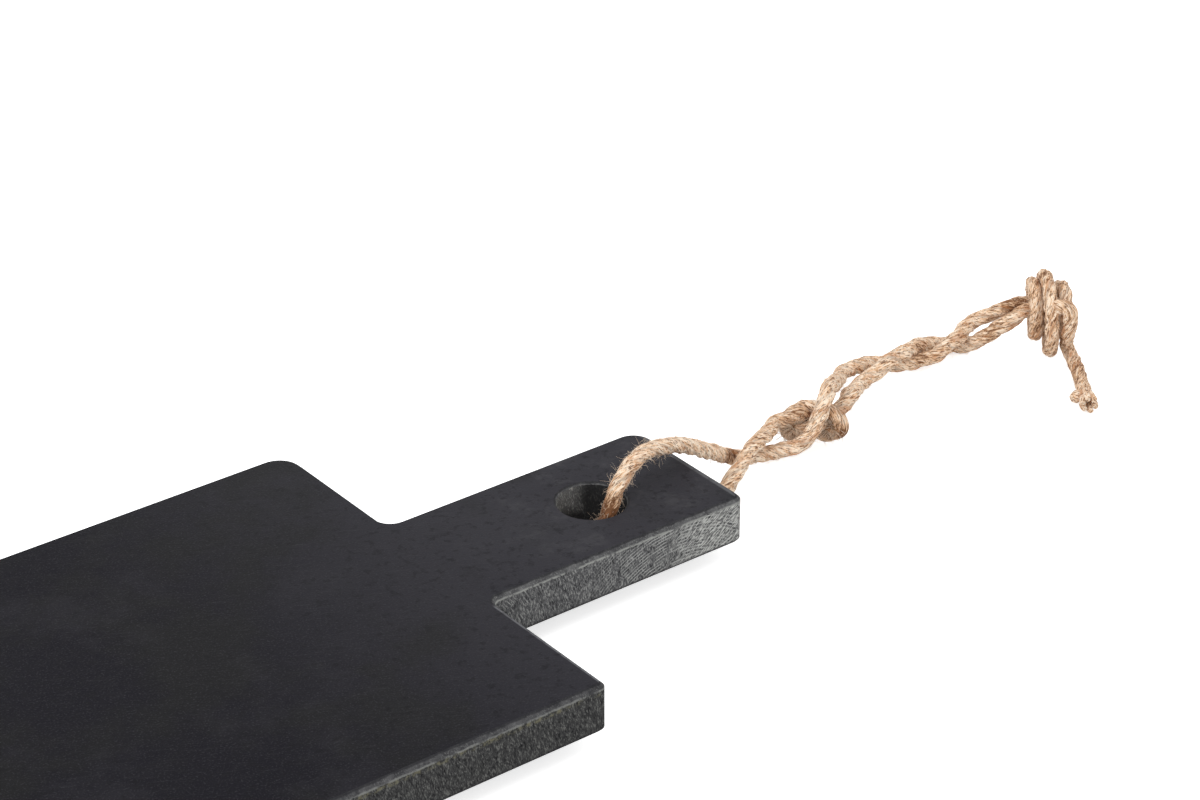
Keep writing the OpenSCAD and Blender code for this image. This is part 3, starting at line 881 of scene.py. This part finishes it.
def slate_material():
    """Honed slate faces with cloudy patches, chamfers with wear and painted highlights, sanded sides with
    grinding marks, and painted shade in the hole and along the lower edges.
    """
    colours = bpy.context.scene.board_colours
    material, sh, surface = new_material("slate")
    place = sh.put("ShaderNodeTexCoord").outputs["Object"]

    def mask(group_maker, inputs):
        return placed(sh, group_maker, {"Place": place, **inputs})["Mask"]

    mix, span, times, most, minus = sh.mix, sh.span, sh.times, sh.most, sh.minus
    x, y, z = sh.put("ShaderNodeSeparateXYZ", {0: place}).outputs
    normal = sh.put("ShaderNodeNewGeometry").outputs["Normal"]
    steep = sh.math("ABSOLUTE", sh.put("ShaderNodeSeparateXYZ", {0: normal}).outputs["Z"])
    face = span(steep, 0.85, 0.97)
    side = span(steep, 0.35, 0.2)
    grain = placed(sh, fine_grain, {"Place": place, "Grain size": 0.00062, "Cloud size": 0.03})
    shifted = sh.vector("ADD", place, (3, 1, 2))
    mottle = sh.noise(shifted, scale=300, detail=5, roughness=0.7)
    patches = sh.noise(shifted, scale=24, detail=5, roughness=0.6)
    # The honed faces, lighter towards the handle
    honed = mix(span(x, 0, 0.155), colours.slate, colours.rubbed_slate)
    honed = mix(span(patches, 0.48, 0.66, 0, 0.55), honed, colours.slate_patch)
    honed = mix(span(grain["Clouds"], 0.5, 0.72, 0, 0.35), honed, CLOUD)
    honed = mix(span(grain["Grain"], 0.52, 0.7, 0, 0.5), honed, GRAIN)
    honed = mix(span(mottle, 0.5, 0.34, 0, 0.5), honed, MOTTLE)
    smudges = span(sh.noise(place, scale=75, detail=5, roughness=0.7), 0.5, 0.68)
    honed = mix(times(span(x, 0.1, 0.16), smudges), honed, SMUDGE, 0.6)
    brushed = mask(scratches, {"Turn": (0, 0, 0.5), "Stretch": (110, 2600, 2600), "Share": 0.6})
    honed = mix(brushed, honed, BRUSHED, 0.07)
    # A thin lighter line along the upper edges at the right shoulder and at the handle's end, partly wear and
    # partly painted highlight
    shoulder = times(times(span(x, 0.1001, 0.1006), span(x, 0.103, 0.102)), span(y, -0.0295, -0.032))
    rim = most(shoulder, times(span(x, 0.1966, 0.1974), 0.7))
    honed = mix(times(rim, span(mottle, 0.3, 0.55, 0.35, 0.85)), honed, RIM_WEAR_AND_HIGHLIGHT)
    # The sanded sides: short upright strokes, then wide arcs near the handle's end and in the corner
    strokes = placed(sh, sanding_strokes, {"Place": place, "Turn": (0.15, 0.22, 0)})
    arcs = mask(grinding_arcs, {"Centre": (0.174, -0.027, -0.0246), "Closeness": 290, "Share": 0.41})
    arcs = times(arcs, span(x, 0.13, 0.168))
    corner = mask(grinding_arcs, {"Centre": (0.086, -0.03, 0.002), "Closeness": 270, "Share": 0.47})
    corner = times(corner, span(sh.apart(x, 0.11), 0.013, 0.004))
    arced = most(arcs, times(corner, 0.55))
    sawn = mix(strokes["Deep"], colours.sawn_slate, colours.deep_slate)
    sawn = mix(span(mottle, 0.36, 0.62, 0, 0.35), sawn, PALE_MOTTLE)
    sawn = mix(strokes["High"], sawn, colours.slate_dust, 0.9)
    sawn = mix(arced, sawn, ARC)
    dusty = times(span(x, 0.15, 0.2), span(mottle, 0.34, 0.6, 0.1, 0.65))
    sawn = mix(dusty, sawn, mix(strokes["Deep"], DUST, DUSTY_GROOVE))
    diagonal = mask(scratches, {"Turn": (0, 0.6, 0), "Stretch": (420, 2700, 2700), "Share": 0.5})
    sawn = mix(times(diagonal, span(x, 0.163, 0.185)), sawn, DIAGONAL, 0.85)
    # The body's sides are darker than the handle's, with ochre traces under their upper edge
    on_body = span(x, 0.1036, 0.1015)
    sawn = mix(on_body, sawn, BODY_SHADE, 0.95, blend="MULTIPLY")
    ochre = times(span(sh.apart(z, 0.0206), 0.0012, 0.0002), span(mottle, 0.46, 0.6))
    sawn = mix(times(ochre, on_body), sawn, OCHRE, 0.7)
    # The hole's wall is scratched and paler than the sides, which is painted light; painted shade darkens its
    # right and lower part
    off_x = minus(x, HOLE_X)
    off_centre = sh.math("SQRT", sh.plus(sh.math("POWER", off_x, 2), sh.math("POWER", y, 2)))
    in_hole = span(off_centre, 0.0135, 0.0125)
    wall = mix(strokes["High"], WALL, WALL_STROKE)
    across = minus(times(off_x, 0.79), times(y, 0.613))
    shaded = most(span(across, -0.0075, -0.001), span(z, 0.0175, 0.011))
    wall = mix(shaded, wall, WALL_SHADE, 0.9)
    # The chamfers, with a dark line above and a light line below, towards the side, which is partly wear and
    # partly painted highlight
    wobble = times(minus(sh.noise(place, scale=420, detail=4), 0.5), 0.0007)
    height = sh.plus(sh.apart(z, SIDE_MIDDLE_Z), wobble)
    chamfer = mix(span(mottle, 0.36, 0.64), CHAMFER, PALE_CHAMFER)
    chamfer = mix(strokes["High"], chamfer, colours.slate_dust, 0.35)
    chamfer = mix(on_body, chamfer, CHAMFER_SHADE, 0.75, blend="MULTIPLY")
    chamfer = mix(span(height, 0.0076, 0.008), chamfer, CHAMFER_LINE, 0.75)
    shaded_underside = span(z, 0.0089, 0.0079)
    wear_and_highlight = span(sh.apart(height, SIDE_HALF_HEIGHT), 0.0004, 0.0001)
    wear_and_highlight = times(wear_and_highlight, minus(1, most(shaded_underside, in_hole)))
    wear_and_highlight = times(wear_and_highlight, span(sh.noise(place, scale=210, detail=6, roughness=0.75), 0.42, 0.54, 0.05, 1))
    wear_and_highlight = times(wear_and_highlight, span(on_body, 0, 1, 0.9, 0.45))
    colour = mix(side, chamfer, mix(in_hole, sawn, wall))
    colour = mix(wear_and_highlight, colour, WEAR_AND_HIGHLIGHT)
    # Painted shade darkens the lower chamfer and the underside
    colour = mix(shaded_underside, colour, UNDERSIDE_SHADE, 0.8)
    rough = sh.plus(span(face, 0, 1, 0.86, 0.6), span(mottle, 0.3, 0.7, -0.06, 0.06))
    lift = times(sh.plus(strokes["Height"], times(arced, 0.8)), minus(1, face))
    lift = sh.plus(lift, times(grain["Height"], 0.45))
    looks = {
        "Base Color": mix(face, colour, honed),
        "Roughness": rough,
        "Normal": sh.bump(lift, 0.6, 0.0003),
        "Specular IOR Level": 0.06,
    }
    sh.fill(surface, looks)
    return material


def rubber_material():
    """Black rubber with a fine moulded grain and a little dust."""
    material, sh, surface = new_material("rubber")
    place = sh.put("ShaderNodeTexCoord").outputs["Object"]
    grain = placed(sh, fine_grain, {"Place": place, "Grain size": 0.0005, "Cloud size": 0.008})
    dusty = sh.span(grain["Clouds"], 0.45, 0.75, 0, 0.4)
    looks = {
        "Base Color": sh.mix(dusty, bpy.context.scene.board_colours.rubber, RUBBER_DUST),
        "Roughness": sh.span(grain["Grain"], 0.3, 0.7, 0.5, 0.7),
        "Normal": sh.bump(grain["Height"], 0.4, 0.0002),
    }
    sh.fill(surface, looks)
    return material


# Operators


class BOARD_OT_camera(bpy.types.Operator):
    """Add the camera that looks at the board from its handle end"""

    bl_idname = "board.camera"
    bl_label = "Camera"

    def execute(self, context):
        data = bpy.data.cameras.new("camera")
        camera = bpy.data.objects.new("camera", data)
        context.scene.collection.objects.link(camera)
        data.lens = 102.33
        data.sensor_width = 36
        data.clip_start, data.clip_end = 0.01, 50
        camera.location = (-0.3938, -0.7178, 0.5603)
        camera.rotation_euler = (math.radians(90 - 28.96), 0, math.radians(-37.84))
        context.scene.camera = camera
        return {"FINISHED"}


class BOARD_OT_rope(bpy.types.Operator):
    """Lay the rope: its legs, both knots, its frayed tail and its loose fibres"""

    bl_idname = "board.rope"
    bl_label = "Rope"

    def execute(self, context):
        sizes = context.scene.board_rope_sizes
        jute, loose = jute_material("jute"), jute_material("jute_fuzz", lighter=0.7)
        runs = rope_runs(sizes)
        pieces = {}
        for name, node in (
            ("upper_leg", "rope_upper_leg"),
            ("lower_leg", "rope_lower_leg"),
            ("stopper", "stopper_knot"),
            ("far_leg", "rope_far_leg"),
            ("winding", "end_knot"),
            ("tail", "rope_tail"),
        ):
            pieces[name] = rope_piece(name, runs[name], sizes, jute)
            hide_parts(node)
        tuft = pieces["tuft"] = lock_piece("tuft", tuft_locks(), jute)
        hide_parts("tail_tuft")
        pieces["crossing"] = rope_piece("crossing", runs["crossing"], sizes, jute)
        pieces["stopper_fuzz"] = fuzz_piece("stopper_fuzz", sizes, loose, 21)
        pieces["stopper_lumps"] = lock_piece("stopper_lumps", lump_locks(), jute)
        pieces["knot_filling"] = lock_piece("knot_filling", filling_locks(), jute)
        # The loose fibres: how many in a millimetre, their shortest and longest, their lift, and a seed
        for name, run, *fibres in (
            ("upper_leg_hairs", "upper_leg", 9, 0.5, 3.4, 0.35, 11),
            ("hole_hairs", "hole", 6, 1, 4.2, 0.9, 17),
            ("lower_leg_hairs", "lower_leg", 8, 0.5, 2.6, 0.35, 12),
            ("stopper_hairs", "stopper", 14, 0.6, 3, 0.5, 13),
            ("far_leg_hairs", "far_leg", 8, 0.5, 2.4, 0.35, 14),
            ("winding_hairs", "winding", 8, 0.5, 2, 0.35, 15),
            ("tail_hairs", "tail and tuft", 9, 0.5, 2.2, 0.4, 16),
        ):
            pieces[name] = hair_piece(name, runs[run], sizes, loose, *fibres)

        def declare(name, diameter, far_end, *others):
            line, first, last, _ = runs[name]
            path = line.points[first : last + 1]
            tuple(path[0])

        upper_others = "upper_leg_hairs", "hole_hairs", "winding", "winding_hairs", "crossing", "knot_filling"
        lower_others = "lower_leg_hairs", "stopper", "stopper_hairs", "stopper_fuzz", "stopper_lumps"
        declare("upper_leg", 0.006, "knot", *upper_others)
        declare("lower_leg", 0.006, "knot", *lower_others)
        declare("far_leg", 0.006, "knot", "far_leg_hairs")
        declare("tail", 0.005, "bare", "tail_hairs", "tuft")
        return {"FINISHED"}


class BOARD_OT_slab(bpy.types.Operator):
    """Finish the slab in honed and sanded slate"""

    bl_idname = "board.slab"
    bl_label = "Slab"

    def execute(self, context):
        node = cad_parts["slate_board"]
        slab = node.copy()
        slab.data = node.data.copy()
        slab.name = "slab"
        context.scene.collection.objects.link(slab)
        worked = bmesh.new()
        worked.from_mesh(slab.data)
        bmesh.ops.remove_doubles(worked, verts=worked.verts, dist=0.00001)
        worked.to_mesh(slab.data)
        worked.free()
        bpy.ops.object.select_all(action="DESELECT")
        context.view_layer.objects.active = slab
        slab.select_set(True)
        eased_edges = slab.modifiers.new("eased_edges", "BEVEL")
        eased_edges.width = 0.00028
        eased_edges.segments = 3
        eased_edges.limit_method = "ANGLE"
        eased_edges.angle_limit = math.radians(25)
        bpy.ops.object.modifier_apply(modifier=eased_edges.name)
        bpy.ops.object.shade_smooth_by_angle(angle=math.radians(28))
        slab.data.materials.clear()
        slab.data.materials.append(slate_material())
        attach(slab, "root")
        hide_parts("slate_board")
        return {"FINISHED"}


class BOARD_OT_bumpers(bpy.types.Operator):
    """Finish the four bumpers in rubber"""

    bl_idname = "board.bumpers"
    bl_label = "Bumpers"

    def execute(self, context):
        material = rubber_material()
        for name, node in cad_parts.items():
            if name.startswith("bumper"):
                for slot in node.material_slots:
                    slot.material = material
        return {"FINISHED"}


class BOARD_OT_stage(bpy.types.Operator):
    """Add the pale floor, the lamp and the white surroundings"""

    bl_idname = "board.stage"
    bl_label = "Stage"

    def execute(self, context):
        stage = context.scene.board_stage
        bpy.ops.object.select_all(action="DESELECT")
        bpy.ops.mesh.primitive_plane_add(size=12)
        floor = context.object
        floor.name = "floor"
        material, sh, surface = new_material("floor")
        camera_ray = sh.put("ShaderNodeLightPath").outputs["Is Camera Ray"]
        looks = {
            "Base Color": stage.floor,
            "Roughness": 0.9,
            "Specular IOR Level": 0,
            "Emission Color": (1, 1, 1),
            "Emission Strength": sh.times(camera_ray, 0.68),
        }
        sh.fill(surface, looks)
        floor.data.materials.append(material)

        lamp_data = bpy.data.lights.new("key_lamp", "AREA")
        lamp_data.shape = "DISK"
        lamp_data.size = 1.1
        lamp_data.energy = stage.key_power
        lamp = bpy.data.objects.new("key_lamp", lamp_data)
        context.scene.collection.objects.link(lamp)
        lamp.location = (-1, -0.4, 1.5)
        lamp.rotation_euler = (Vector((0.15, 0, 0)) - lamp.location).to_track_quat("-Z", "Y").to_euler()

        world = bpy.data.worlds.new("surroundings")
        context.scene.world = world
        world.use_nodes = True
        sky = Shading(world.node_tree)
        paths = sky.put("ShaderNodeLightPath").outputs
        seen = sky.plus(paths["Is Camera Ray"], paths["Is Glossy Ray"])
        seen = sky.math("ADD", seen, paths["Is Transmission Ray"], clamp=True)
        strength = sky.span(seen, 0, 1, stage.sky_strength, 1)
        sky.fill(world.node_tree.nodes["Background"], {"Color": (1, 1, 1), "Strength": strength})
        context.scene.view_settings.view_transform = "Standard"
        return {"FINISHED"}


class BOARD_PT_steps(bpy.types.Panel):
    """Lists the steps that make the board, and its sizes and colours."""

    bl_idname = "BOARD_PT_steps"
    bl_label = "Slate board"
    bl_space_type = "VIEW_3D"
    bl_region_type = "UI"
    bl_category = "Slate board"

    def draw(self, context):
        for step in STEPS:
            self.layout.operator(step.bl_idname)
        for name in PROPERTY_GROUPS:
            group = getattr(context.scene, name)
            for key in group.__annotations__:
                self.layout.prop(group, key)


STEPS = (BOARD_OT_camera, BOARD_OT_rope, BOARD_OT_slab, BOARD_OT_bumpers, BOARD_OT_stage)
PROPERTY_GROUPS = {
    "board_rope_sizes": BoardRopeSizes,
    "board_colours": BoardColours,
    "board_stage": BoardStage,
}
CLASSES = (*PROPERTY_GROUPS.values(), *STEPS, BOARD_PT_steps)


def register():
    for cls in CLASSES:
        bpy.utils.register_class(cls)
    for name, group in PROPERTY_GROUPS.items():
        setattr(bpy.types.Scene, name, PointerProperty(type=group))


def unregister():
    for name in PROPERTY_GROUPS:
        delattr(bpy.types.Scene, name)
    for cls in reversed(CLASSES):
        bpy.utils.unregister_class(cls)


def main():
    register()
    bpy.ops.board.camera()
    bpy.ops.board.rope()
    bpy.ops.board.slab()
    bpy.ops.board.bumpers()
    bpy.ops.board.stage()


if __name__ == "__main__":
    main()
